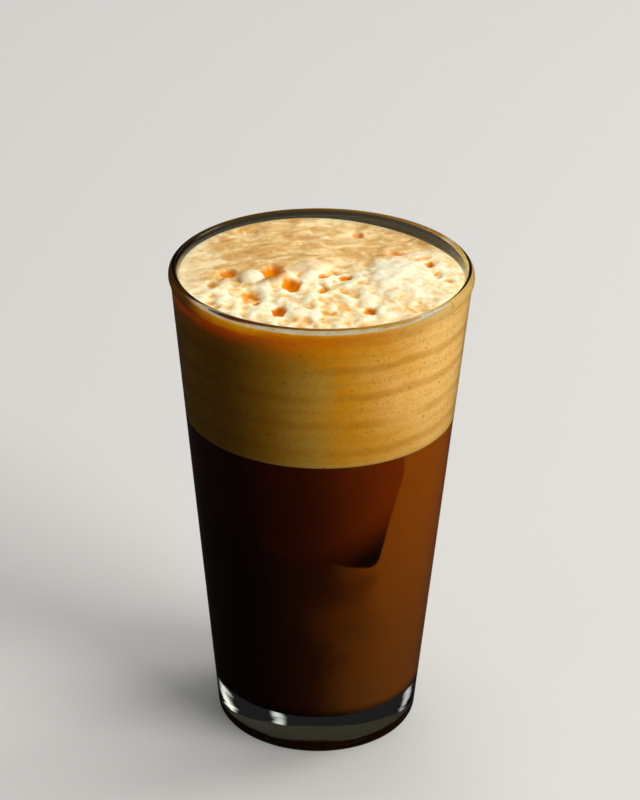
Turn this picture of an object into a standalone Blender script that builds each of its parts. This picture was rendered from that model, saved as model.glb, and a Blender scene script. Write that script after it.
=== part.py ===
"""Iced espresso tonic in a pint glass: a turned glass, the drink in it and its thick foam.

Units are metres and +Z is up. The origin is the centre of the glass's foot, on the surface
that it stands on. The glass and the drink are turned about Z. The foam fills the glass above
the drink, and its top is broken into puffs, with a few deep pits and one burst bubble.
"""

import math
from typing import NamedTuple

import bmesh
import bpy
from mathutils import Vector, noise

MM = 0.001

# Glass, outside
GLASS_HEIGHT = 149.2 * MM
RIM_RADIUS = 44.45 * MM
FOOT_WALL_RADIUS = 30.38 * MM
NECK_WALL_RADIUS = 43.75 * MM
NECK_HEIGHT = 145.0 * MM
HEEL_HEIGHT = 3.2 * MM
HEEL_WIDTH = 3.4 * MM
BEAD_WIDTH = 2.9 * MM
BEAD_HEIGHT = 4.2 * MM

# Glass, underside: a shallow recess inside the ring that it stands on
RING_WIDTH = 2.8 * MM
RECESS_DEPTH = 1.3 * MM
RECESS_SLOPE = 3.0 * MM

# Glass, inside
WALL_AT_NECK = 2.4 * MM
WALL_AT_FLOOR = 3.0 * MM
FLOOR_HEIGHT = 12.0 * MM
CORNER_RADIUS = 6.0 * MM

# Contents
FIT_GAP = 0.3 * MM
FOAM_LINE = 103.2 * MM
FOAM_EDGE_HEIGHT = 146.9 * MM
FOAM_EDGE_DROP = 1.7 * MM
FOAM_EDGE_DROP_ANGLE = math.radians(40.0)
FOAM_EDGE_BAND = 2.6 * MM

# Foam relief, measured from the edge height
CREASE_DEPTH = 0.9 * MM
CLUMP_STRETCH = 1.35
EVEN_START = 26.0 * MM
EVEN_END = 36.0 * MM
CALM_STRETCH = 1.7
CALM_TURN = math.radians(33.0)
CALM_LINE_Y = 6.0 * MM
CALM_LINE_SLOPE = 0.45
CALM_LINE_BLUR = 7.0 * MM
LIP_WIDTH = 0.9 * MM
LIP_MIDDLE = math.radians(-50.0)
LIP_REACH = math.radians(54.0)

# How finely the round and the rough shapes are cut
ROUND_STEPS = 72
FOAM_CELLS = 58
HEEL_STEPS = 5
BEAD_STEPS = 16
CORNER_STEPS = 5
BEAD_START = math.radians(-60.0)
MERGE_DISTANCE = 0.001 * MM


class PuffLayer(NamedTuple):
    """One layer of rounded puffs: their size and height, and how the noise for them is read."""

    size: float
    height: float
    shoulder: float
    layer: float


class Shift(NamedTuple):
    """Soft noise that moves points: the size of its swings, how far it moves and its layer."""

    size: float
    reach: float
    layer: float


class Mound(NamedTuple):
    """A swelling of the foam: its centre, its half sizes along X and Y, and how high it stands."""

    x: float
    y: float
    half_x: float
    half_y: float
    height: float


class Pit(NamedTuple):
    """A hollow between puffs: its centre, its half sizes along X and Y, and its depth."""

    x: float
    y: float
    half_x: float
    half_y: float
    depth: float


CLUMPS = PuffLayer(3.8 * MM, 1.0 * MM, 0.36, 5.1)
CALM = PuffLayer(3.4 * MM, 0.5 * MM, 0.4, 8.3)
WARP = Shift(5.0 * MM, 1.5 * MM, 3.7)
ROUGH = Shift(2.6 * MM, 0.9 * MM, 1.7)

# The two shifts read noise that differs from run to run unless its seed is set
SHIFT_SEED = 1796090619

# The broad swellings: the pale one on the right, the calm back, the front, and behind the middle
PALE_MOUND = Mound(23.0 * MM, -0.5 * MM, 12.0 * MM, 20.0 * MM, 1.5 * MM)
MOUNDS = (
    PALE_MOUND,
    Mound(-18.0 * MM, 24.0 * MM, 16.0 * MM, 16.0 * MM, 0.4 * MM),
    Mound(-3.0 * MM, -19.0 * MM, 9.0 * MM, 9.0 * MM, 0.7 * MM),
    Mound(-1.5 * MM, 8.0 * MM, 5.0 * MM, 6.0 * MM, 0.6 * MM),
)

# The burst bubble: its crater, the curled lip round its right and front, and a round bubble beside
# it. The lip's and the round bubble's heights are those of their crests.
CRATER = Pit(-14.3 * MM, 0.8 * MM, 3.8 * MM, 6.4 * MM, 3.2 * MM)
LIP = Mound(-17.5 * MM, 1.5 * MM, 7.2 * MM, 9.8 * MM, 1.6 * MM)
BALL = Mound(-20.0 * MM, -3.2 * MM, 4.1 * MM, 5.4 * MM, 1.2 * MM)

# The smaller hollows
PITS = (
    Pit(-11.8 * MM, -25.8 * MM, 2.2 * MM, 3.6 * MM, 2.6 * MM),
    Pit(-8.8 * MM, -7.6 * MM, 3.2 * MM, 5.2 * MM, 2.9 * MM),
    Pit(-20.3 * MM, -15.8 * MM, 3.7 * MM, 5.0 * MM, 1.4 * MM),
    Pit(-18.6 * MM, -20.0 * MM, 1.7 * MM, 2.0 * MM, 2.4 * MM),
    Pit(-27.5 * MM, 0.8 * MM, 2.6 * MM, 2.8 * MM, 1.8 * MM),
    Pit(-29.6 * MM, -3.6 * MM, 1.3 * MM, 2.6 * MM, 0.8 * MM),
    Pit(-31.8 * MM, -8.0 * MM, 1.5 * MM, 2.4 * MM, 0.8 * MM),
    Pit(-21.4 * MM, 31.4 * MM, 2.3 * MM, 1.8 * MM, 1.3 * MM),
    Pit(-24.8 * MM, 30.4 * MM, 1.7 * MM, 1.6 * MM, 0.9 * MM),
    Pit(22.6 * MM, 19.2 * MM, 3.5 * MM, 1.7 * MM, 1.7 * MM),
    Pit(10.5 * MM, 31.8 * MM, 1.8 * MM, 2.4 * MM, 1.5 * MM),
    Pit(6.8 * MM, -1.4 * MM, 2.4 * MM, 2.8 * MM, 2.1 * MM),
    Pit(0.6 * MM, -0.4 * MM, 1.8 * MM, 3.2 * MM, 1.8 * MM),
    Pit(0.2 * MM, -10.2 * MM, 1.6 * MM, 4.2 * MM, 1.3 * MM),
    Pit(31.6 * MM, 9.0 * MM, 1.6 * MM, 2.6 * MM, 1.9 * MM),
    Pit(33.5 * MM, 0.2 * MM, 1.6 * MM, 4.2 * MM, 1.0 * MM),
    Pit(36.8 * MM, -3.8 * MM, 2.6 * MM, 1.6 * MM, 1.1 * MM),
    Pit(13.5 * MM, -25.0 * MM, 2.4 * MM, 2.6 * MM, 1.7 * MM),
    Pit(2.0 * MM, -26.5 * MM, 2.2 * MM, 2.4 * MM, 0.9 * MM),
)

MATERIALS = {
    "glass": ((0.92, 0.95, 0.94, 1.0), 0.03),
    "coffee": ((0.19, 0.07, 0.02, 1.0), 0.25),
    "foam": ((0.80, 0.57, 0.30, 1.0), 0.65),
}


def smooth(low, high, value):
    """0 below low, 1 above high, and a smooth step between them."""
    share = min(max((value - low) / (high - low), 0.0), 1.0)
    return share * share * (3.0 - 2.0 * share)


def outer_radius(height):
    """The outer wall's radius at a height."""
    taper = (NECK_WALL_RADIUS - FOOT_WALL_RADIUS) / NECK_HEIGHT
    return FOOT_WALL_RADIUS + taper * height


def inner_radius(height):
    """The inner wall's radius at a height: the wall thins evenly from the floor to the neck."""
    share = (height - FLOOR_HEIGHT) / (NECK_HEIGHT - FLOOR_HEIGHT)
    thickness = WALL_AT_FLOOR + (WALL_AT_NECK - WALL_AT_FLOOR) * share
    return outer_radius(height) - thickness


def arc(centre, half_sizes, start, end, steps):
    """Points along part of an ellipse in the profile plane, as (radius, height)."""
    points = []
    for step in range(steps + 1):
        angle = start + (end - start) * step / steps
        radius = centre[0] + half_sizes[0] * math.cos(angle)
        height = centre[1] + half_sizes[1] * math.sin(angle)
        points.append((radius, height))
    return points


def corner_profile(gap):
    """The round between the inner wall and the floor, from the wall down, drawn in by a gap."""
    middle = FLOOR_HEIGHT + CORNER_RADIUS
    centre = (inner_radius(middle) - CORNER_RADIUS, middle)
    size = CORNER_RADIUS - gap
    return arc(centre, (size, size), 0.0, -math.pi / 2.0, CORNER_STEPS)


def glass_profile():
    """The glass's outline, from the middle of the underside, up the outside and down the inside."""
    ring_outer = outer_radius(HEEL_HEIGHT) - HEEL_WIDTH
    ring_inner = ring_outer - RING_WIDTH
    recess_radius = ring_inner - RECESS_SLOPE
    heel = arc((ring_outer, HEEL_HEIGHT), (HEEL_WIDTH, HEEL_HEIGHT), -math.pi / 2.0, 0.0, HEEL_STEPS)
    bead_centre = (RIM_RADIUS - BEAD_WIDTH / 2.0, GLASS_HEIGHT - BEAD_HEIGHT / 2.0)
    bead = arc(bead_centre, (BEAD_WIDTH / 2.0, BEAD_HEIGHT / 2.0), BEAD_START, math.pi, BEAD_STEPS)
    underside = [
        (0.0, RECESS_DEPTH),
        (recess_radius, RECESS_DEPTH),
        (recess_radius + RECESS_SLOPE * 0.3, RECESS_DEPTH * 0.85),
        (ring_inner - RECESS_SLOPE * 0.3, RECESS_DEPTH * 0.15),
        (ring_inner, 0.0),
    ]
    neck_outside = (outer_radius(NECK_HEIGHT - FIT_GAP), NECK_HEIGHT - FIT_GAP)
    neck_inside = (inner_radius(NECK_HEIGHT), NECK_HEIGHT)
    floor_middle = (0.0, FLOOR_HEIGHT)
    return underside + heel + [neck_outside] + bead + [neck_inside] + corner_profile(0.0) + [floor_middle]


def coffee_profile():
    """The drink's outline, from the middle of its flat top, down the wall and along the floor."""
    top = FOAM_LINE - FIT_GAP / 2.0
    wall_top = (inner_radius(top) - FIT_GAP, top)
    floor_middle = (0.0, FLOOR_HEIGHT + FIT_GAP)
    return [(0.0, top), wall_top] + corner_profile(FIT_GAP) + [floor_middle]


def rise(puffs, x, y):
    """How high a layer of puffs stands at a point: 0 in a hollow and its full height on a puff."""
    swing = noise.noise(Vector((x / puffs.size, y / puffs.size, puffs.layer)))
    return puffs.height * 0.5 * (1.0 + math.tanh(swing / puffs.shoulder))


def shifted(shift, x, y):
    """The point of an even pattern that shows at a point, so that no outline is regular."""
    move = noise.noise_vector(Vector((x / shift.size, y / shift.size, shift.layer)))
    return x + move.x * shift.reach, y + move.y * shift.reach


def distance_in(form, x, y):
    """How far a point is from a mound's or a pit's middle, where 1 is its outline."""
    return math.hypot((x - form.x) / form.half_x, (y - form.y) / form.half_y)


def broken(x, y):
    """How broken the foam is at a point: 0 in the calm back left, 1 in front and on the right."""
    ahead = CALM_LINE_Y + CALM_LINE_SLOPE * x - y
    return smooth(-CALM_LINE_BLUR, CALM_LINE_BLUR, ahead)


def mound_lift(mound, x, y):
    """How far one broad swelling lifts the foam at a point."""
    return mound.height * math.exp(-1.5 * distance_in(mound, x, y) ** 2)


def puff_relief(x, y):
    """How high the puffs stand: streaks at the back, clumps in front, nearly flat at the right."""
    cosine, sine = math.cos(CALM_TURN), math.sin(CALM_TURN)
    along, across = (x * cosine + y * sine) / CALM_STRETCH, y * cosine - x * sine
    calm = rise(CALM, along, across)
    flatter = 1.0 - 0.4 * mound_lift(PALE_MOUND, x, y) / MM
    flatter *= 1.0 - 0.75 * smooth(EVEN_START, EVEN_END, x)
    clumps = rise(CLUMPS, x, y / CLUMP_STRETCH)
    clumps = CLUMPS.height - (CLUMPS.height - clumps) * flatter
    return calm + (clumps - calm) * broken(x, y)


def ball_level(x, y):
    """The level of the round bubble's skin at a point, from the deepest crease up to its crest."""
    share = math.sqrt(max(1.0 - distance_in(BALL, x, y) ** 2, 0.0))
    return (BALL.height + CREASE_DEPTH) * share - CREASE_DEPTH


def hollow_depth(pit, x, y):
    """How far one hollow lowers the foam at a point: a deep hollow has steeper walls."""
    steep = 0.12 * pit.depth / MM
    return pit.depth * (1.0 - smooth(0.15 + steep, 1.45 - steep, distance_in(pit, x, y)))


def lip_share(x, y):
    """How much of a point is the crater's curled lip: 1 on its crest and 0 away from it."""
    turn = math.atan2((y - LIP.y) / LIP.half_y, (x - LIP.x) / LIP.half_x)
    reach = 1.0 - smooth(0.5 * LIP_REACH, LIP_REACH, abs(turn - LIP_MIDDLE))
    from_lip = (distance_in(LIP, x, y) - 1.0) * LIP.half_x / LIP_WIDTH
    return reach * math.exp(-from_lip * from_lip)


def edge_height(x, y):
    """The height at which the foam meets the glass, lower at the back right."""
    turn = math.atan2(y, x) - FOAM_EDGE_DROP_ANGLE
    drop = max(math.cos(turn), 0.0) ** 4
    return FOAM_EDGE_HEIGHT - FOAM_EDGE_DROP * drop


def foam_height(x, y, reach):
    """The height of the foam's top at a point."""
    even_x, even_y = shifted(WARP, x, y)
    relief = puff_relief(even_x, even_y) - CREASE_DEPTH
    relief += sum(mound_lift(mound, even_x, even_y) for mound in MOUNDS)
    rough_x, rough_y = shifted(ROUGH, x, y)
    between_x, between_y = 0.5 * (x + rough_x), 0.5 * (y + rough_y)
    relief = max(relief, ball_level(between_x, between_y))
    relief -= max(hollow_depth(pit, rough_x, rough_y) for pit in (CRATER, *PITS))
    relief += (LIP.height - relief) * lip_share(between_x, between_y)
    from_edge = reach - math.hypot(x, y)
    return edge_height(x, y) + relief * smooth(0.0, FOAM_EDGE_BAND, from_edge)


def to_disc(x, y, radius):
    """A point of the square from -1 to 1 on the disc of a radius, with the rim on the rim."""
    disc_x = radius * x * math.sqrt(1.0 - y * y / 2.0)
    disc_y = radius * y * math.sqrt(1.0 - x * x / 2.0)
    return disc_x, disc_y


def new_material(name):
    """A plain surface for one piece."""
    colour, roughness = MATERIALS[name]
    material = bpy.data.materials.new(name)
    material.use_nodes = True
    shader = material.node_tree.nodes["Principled BSDF"]
    shader.inputs["Base Color"].default_value = colour
    shader.inputs["Roughness"].default_value = roughness
    shader.inputs["Metallic"].default_value = 0.0
    if name == "glass":
        shader.inputs["Transmission Weight"].default_value = 1.0
        shader.inputs["IOR"].default_value = 1.5
    return material


def add_piece(name, shape):
    """Puts a finished bmesh in the scene as one named piece with its own material."""
    bmesh.ops.recalc_face_normals(shape, faces=shape.faces[:])
    mesh = bpy.data.meshes.new(name)
    shape.to_mesh(mesh)
    shape.free()
    mesh.materials.append(new_material(name))
    mesh.shade_smooth()
    mesh.set_sharp_from_angle(angle=math.radians(35.0))
    piece = bpy.data.objects.new(name, mesh)
    bpy.context.scene.collection.objects.link(piece)
    return piece


def turn_profile(profile):
    """A closed solid turned about Z from an outline that starts and ends on the axis."""
    shape = bmesh.new()
    corners = [shape.verts.new((radius, 0.0, height)) for radius, height in profile]
    edges = [shape.edges.new(pair) for pair in zip(corners, corners[1:])]
    bmesh.ops.spin(
        shape,
        geom=corners + edges,
        cent=(0.0, 0.0, 0.0),
        axis=(0.0, 0.0, 1.0),
        angle=math.tau,
        steps=ROUND_STEPS,
        use_merge=True,
    )
    bmesh.ops.remove_doubles(shape, verts=shape.verts[:], dist=MERGE_DISTANCE)
    return shape


def build_glass():
    """The glass: beaded rim, straight tapered wall, heavy base and rounded heel."""
    return add_piece("glass", turn_profile(glass_profile()))


def build_coffee():
    """The drink, from the glass's floor up to the foam."""
    return add_piece("coffee", turn_profile(coffee_profile()))


def build_foam():
    """The foam: a square net drawn out to a disc for its rough top, then its side and base."""
    noise.seed_set(SHIFT_SEED)
    shape = bmesh.new()
    bmesh.ops.create_grid(shape, x_segments=FOAM_CELLS, y_segments=FOAM_CELLS, size=1.0)
    reach = inner_radius(FOAM_EDGE_HEIGHT) - FIT_GAP
    rim_edges = [edge for edge in shape.edges if edge.is_boundary]
    rim = {corner for edge in rim_edges for corner in edge.verts}
    for corner in shape.verts:
        x, y = to_disc(corner.co.x, corner.co.y, reach)
        corner.co = (x, y, foam_height(x, y, reach))
    for corner in rim:
        fit = (inner_radius(corner.co.z) - FIT_GAP) / math.hypot(corner.co.x, corner.co.y)
        corner.co.x *= fit
        corner.co.y *= fit
    base = FOAM_LINE + FIT_GAP / 2.0
    base_radius = inner_radius(base) - FIT_GAP
    side = bmesh.ops.extrude_edge_only(shape, edges=rim_edges)["geom"]
    for corner in side:
        if isinstance(corner, bmesh.types.BMVert):
            fit = base_radius / math.hypot(corner.co.x, corner.co.y)
            corner.co = (corner.co.x * fit, corner.co.y * fit, base)
    lower_edges = [item for item in side if isinstance(item, bmesh.types.BMEdge)]
    bmesh.ops.contextual_create(shape, geom=lower_edges)
    return add_piece("foam", shape)


def clear_scene():
    """Removes what a new file holds."""
    for item in list(bpy.data.objects):
        bpy.data.objects.remove(item, do_unlink=True)


def main():
    """Builds the glass and what is in it."""
    clear_scene()
    build_glass()
    build_coffee()
    build_foam()


main()
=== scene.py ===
"""Looks of an iced espresso tonic: a pint glass, the cloudy drink in it, its ice cube and its foam.

Units are metres, +Z is up and the glass stands on the origin, with its shown side towards -Y.
The glass, the drink and the foam repeat the sizes of the solids that they stand for, and the
drink and the foam reach just into the glass's wall, so that no air shows between them. The noise
that shifts points has its seed set, because it would otherwise differ from run to run.
"""

import logging
import math
from dataclasses import dataclass
from enum import Enum
from functools import cached_property, reduce
from typing import NamedTuple

import bmesh
import bpy
import numpy as np
from mathutils import Matrix, Vector, noise
from mathutils.bvhtree import BVHTree


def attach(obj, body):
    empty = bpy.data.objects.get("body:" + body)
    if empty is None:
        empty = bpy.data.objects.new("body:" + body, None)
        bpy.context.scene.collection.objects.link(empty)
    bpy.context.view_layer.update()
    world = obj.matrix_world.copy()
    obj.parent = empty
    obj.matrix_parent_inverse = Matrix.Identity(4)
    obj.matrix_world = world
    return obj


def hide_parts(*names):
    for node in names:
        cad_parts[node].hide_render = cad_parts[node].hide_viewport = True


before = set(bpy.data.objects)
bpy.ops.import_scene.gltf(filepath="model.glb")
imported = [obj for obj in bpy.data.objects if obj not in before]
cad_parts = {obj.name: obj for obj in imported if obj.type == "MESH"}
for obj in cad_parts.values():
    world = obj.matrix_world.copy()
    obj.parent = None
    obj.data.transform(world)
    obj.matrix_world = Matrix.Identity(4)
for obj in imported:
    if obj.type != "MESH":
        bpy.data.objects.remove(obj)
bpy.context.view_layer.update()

LOG = logging.getLogger("espresso_tonic")
MM = 0.001
BODY = "root"
MERGE_DISTANCE = 0.001 * MM
WALL_BITE = 0.15 * MM
SHIFT_SEED = 1796090619

Colour = tuple[float, float, float, float]
Outline = list[tuple[float, float]]
Span = tuple[float, float]
Socket = bpy.types.NodeSocket


def smooth(low: float, high: float, value: float) -> float:
    """Steps smoothly from 0 below low to 1 above high.

    Args:
        low: the value where the step starts.
        high: the value where it ends.
        value: the value to place on it.

    Returns:
        The share of the step, from 0 to 1.
    """
    share = min(max((value - low) / (high - low), 0.0), 1.0)
    return share * share * (3.0 - 2.0 * share)


def arc(
    centre: tuple[float, float],
    half_sizes: tuple[float, float],
    start: float,
    end: float,
    steps: int,
) -> Outline:
    """Works out points along part of an ellipse in the profile plane.

    Args:
        centre: the ellipse's centre, as radius and height.
        half_sizes: its half width and half height.
        start: the angle of the first point, in radians.
        end: the angle of the last point.
        steps: how many pieces the arc is cut into.

    Returns:
        The points from start to end, both included.
    """
    points = []
    for step in range(steps + 1):
        angle = start + (end - start) * step / steps
        radius = centre[0] + half_sizes[0] * math.cos(angle)
        height = centre[1] + half_sizes[1] * math.sin(angle)
        points.append((radius, height))
    return points


def rows_between(first: tuple[float, float], last: tuple[float, float], rows: int) -> Outline:
    """Works out evenly spaced points inside a straight stretch of an outline.

    Args:
        first: the stretch's first end, as radius and height.
        last: its other end.
        rows: how many pieces the stretch is cut into.

    Returns:
        The points between the two ends, without the ends.
    """
    points = []
    for row in range(1, rows):
        share = row / rows
        radius = first[0] + (last[0] - first[0]) * share
        height = first[1] + (last[1] - first[1]) * share
        points.append((radius, height))
    return points


def turn_profile(profile: Outline, steps: int) -> bmesh.types.BMesh:
    """Turns an outline that starts and ends on the axis into a closed round shape.

    Args:
        profile: the outline's points, as radius and height.
        steps: how many times the outline is repeated in one turn.

    Returns:
        The turned shape, merged at its poles.
    """
    shape = bmesh.new()
    corners = [shape.verts.new((radius, 0.0, height)) for radius, height in profile]
    edges = [shape.edges.new(pair) for pair in zip(corners, corners[1:])]
    bmesh.ops.spin(
        shape,
        geom=corners + edges,
        cent=(0.0, 0.0, 0.0),
        axis=(0.0, 0.0, 1.0),
        angle=math.tau,
        steps=steps,
        use_merge=True,
    )
    bmesh.ops.remove_doubles(shape, verts=shape.verts[:], dist=MERGE_DISTANCE)
    return shape


def write_attribute(mesh: bpy.types.Mesh, name: str, values: np.ndarray) -> None:
    """Stores one number for each vertex of a mesh, for its material to read.

    Args:
        mesh: the mesh that gets the numbers.
        name: the attribute's name.
        values: one number for each vertex.
    """
    attribute = mesh.attributes.new(name, "FLOAT", "POINT")
    attribute.data.foreach_set("value", values.astype(np.float32))


def vertex_places(mesh: bpy.types.Mesh) -> np.ndarray:
    """Reads where a mesh's vertices are.

    Args:
        mesh: the mesh to read.

    Returns:
        One row of x, y and z for each vertex.
    """
    places = np.empty(len(mesh.vertices) * 3)
    mesh.vertices.foreach_get("co", places)
    return places.reshape(-1, 3)


def place_piece(
    name: str,
    shape: bmesh.types.BMesh,
    material: bpy.types.Material,
    sharp_angle: float = math.radians(40.0),
) -> bpy.types.Object:
    """Makes a finished bmesh one named, smoothly shaded piece that rides on the glass's body.

    Args:
        name: the piece's name.
        shape: the bmesh, which is freed.
        material: the piece's finish.
        sharp_angle: the angle past which an edge stays sharp.

    Returns:
        The new object.
    """
    bmesh.ops.recalc_face_normals(shape, faces=shape.faces[:])
    mesh = bpy.data.meshes.new(name)
    shape.to_mesh(mesh)
    shape.free()
    mesh.materials.append(material)
    mesh.shade_smooth()
    mesh.set_sharp_from_angle(angle=sharp_angle)
    piece = bpy.data.objects.new(name, mesh)
    bpy.context.scene.collection.objects.link(piece)
    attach(piece, BODY)
    LOG.info("%s: %d faces", name, len(mesh.polygons))
    return piece


class Wiring:
    """Adds nodes to one node tree and joins them."""

    def __init__(self, tree: bpy.types.NodeTree) -> None:
        """Keeps the node tree that is wired."""
        self.tree = tree

    def fill(self, node: bpy.types.Node, inputs: dict[str | int, object]) -> bpy.types.Node:
        """Gives some of a node's input sockets a link or a plain value.

        Args:
            node: the node.
            inputs: another node's output or a plain value for each socket, by its name or number.

        Returns:
            The same node.
        """
        for key, value in inputs.items():
            if isinstance(value, Socket):
                self.tree.links.new(value, node.inputs[key])
            else:
                node.inputs[key].default_value = value
        return node

    def add(
        self, kind: str, inputs: dict[str | int, object] | None = None, **settings: object
    ) -> bpy.types.Node:
        """Adds a node.

        Args:
            kind: the node's type name.
            inputs: links or values for its input sockets, by name or by number.
            settings: the node's own properties.

        Returns:
            The new node.
        """
        node = self.tree.nodes.new(kind)
        for name, value in settings.items():
            setattr(node, name, value)
        return self.fill(node, inputs or {})

    def math(self, operation: str, *values: object) -> Socket:
        """Adds a Math node on plain values and links, and gives its result."""
        return self.add("ShaderNodeMath", dict(enumerate(values)), operation=operation).outputs[0]

    def times(self, *values: object) -> Socket:
        """Multiplies plain values and links with each other."""
        return reduce(lambda product, value: self.math("MULTIPLY", product, value), values)

    def line(self, value: object, slope: object, start: object) -> Socket:
        """Multiplies a value by a slope and adds a start to it."""
        return self.math("MULTIPLY_ADD", value, slope, start)

    def step(self, value: Socket, low: float, high: float) -> Socket:
        """Adds a smooth step.

        Args:
            value: the number to place on it.
            low: the number that gives 0.
            high: the number that gives 1, below low for a falling step.

        Returns:
            The share, from 0 to 1.
        """
        ends = (low, high, 0.0, 1.0) if low < high else (high, low, 1.0, 0.0)
        inputs = dict(zip(("From Min", "From Max", "To Min", "To Max"), ends), Value=value)
        return self.add("ShaderNodeMapRange", inputs, interpolation_type="SMOOTHSTEP").outputs[0]

    def mix(self, share: object, first: object, second: object) -> Socket:
        """Blends two colours.

        Args:
            share: how much of the second colour there is.
            first: the colour at 0.
            second: the colour at 1.

        Returns:
            The blended colour.
        """
        inputs = {0: share, 6: first, 7: second}
        return self.add("ShaderNodeMix", inputs, data_type="RGBA").outputs[2]


class SocketKind(Enum):
    """What a shared effect's socket carries."""

    NUMBER = "NodeSocketFloat"
    PLACE = "NodeSocketVector"


@dataclass(frozen=True)
class EffectSocket:
    """One named input or output of a shared effect."""

    name: str
    value: float = 0.0
    kind: SocketKind = SocketKind.NUMBER


class SharedEffects:
    """The surface effects that more than one finish uses, each built once as a node group."""

    PLACE = EffectSocket("Place", kind=SocketKind.PLACE)

    def __init__(self) -> None:
        """Builds the groups."""
        self.bubbles = self._bubbles()
        self.smears = self._smears()

    @staticmethod
    def _new_group(
        name: str, inputs: tuple[EffectSocket, ...], outputs: tuple[EffectSocket, ...]
    ) -> tuple[Wiring, bpy.types.NodeOutputs, bpy.types.Node]:
        """Starts a node group.

        Args:
            name: the group's name.
            inputs: its input sockets.
            outputs: its output sockets.

        Returns:
            The group's wiring, the sockets that it is given and its output node.
        """
        tree = bpy.data.node_groups.new(name, "ShaderNodeTree")
        for direction, items in (("INPUT", inputs), ("OUTPUT", outputs)):
            for item in items:
                socket = tree.interface.new_socket(item.name, in_out=direction, socket_type=item.kind.value)
                if item.kind is SocketKind.NUMBER:
                    socket.default_value = item.value
        wiring = Wiring(tree)
        return wiring, wiring.add("NodeGroupInput").outputs, wiring.add("NodeGroupOutput")

    def _bubbles(self) -> bpy.types.NodeTree:
        """Builds round bubbles of uneven size, scattered through space."""
        wiring, given, result = self._new_group(
            "scattered_bubbles",
            (self.PLACE, EffectSocket("Per Metre", 600.0), EffectSocket("Share", 0.3)),
            (EffectSocket("Rim"), EffectSocket("Fill")),
        )
        spread = {"Vector": given["Place"], "Scale": given["Per Metre"]}
        cells = wiring.add("ShaderNodeTexVoronoi", spread).outputs
        chance = wiring.add("ShaderNodeSeparateColor", {"Color": cells["Color"]}).outputs
        chosen = wiring.math("LESS_THAN", chance["Red"], given["Share"])
        radius = wiring.line(chance["Green"], 0.24, 0.10)
        across = wiring.math("DIVIDE", cells["Distance"], radius)
        inside = wiring.step(across, 1.0, 0.75)
        middle = wiring.step(across, 0.75, 0.35)
        edge = wiring.math("SUBTRACT", inside, middle)
        wiring.fill(result, {"Fill": wiring.times(middle, chosen), "Rim": wiring.times(edge, chosen)})
        return wiring.tree

    def _smears(self) -> bpy.types.NodeTree:
        """Builds soft uneven patches, such as clouds in a liquid or smears on glass."""
        wiring, given, result = self._new_group(
            "soft_smears",
            (
                self.PLACE,
                EffectSocket("Per Metre", 60.0),
                EffectSocket("Low", 0.4),
                EffectSocket("High", 0.7),
            ),
            (EffectSocket("Mask"),),
        )
        spread = {"Vector": given["Place"], "Scale": given["Per Metre"], "Detail": 4.0, "Distortion": 0.6}
        cloud = wiring.add("ShaderNodeTexNoise", spread).outputs["Fac"]
        limits = {"Value": cloud, "From Min": given["Low"], "From Max": given["High"]}
        mask = wiring.add("ShaderNodeMapRange", limits).outputs[0]
        wiring.fill(result, {"Mask": mask})
        return wiring.tree


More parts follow.
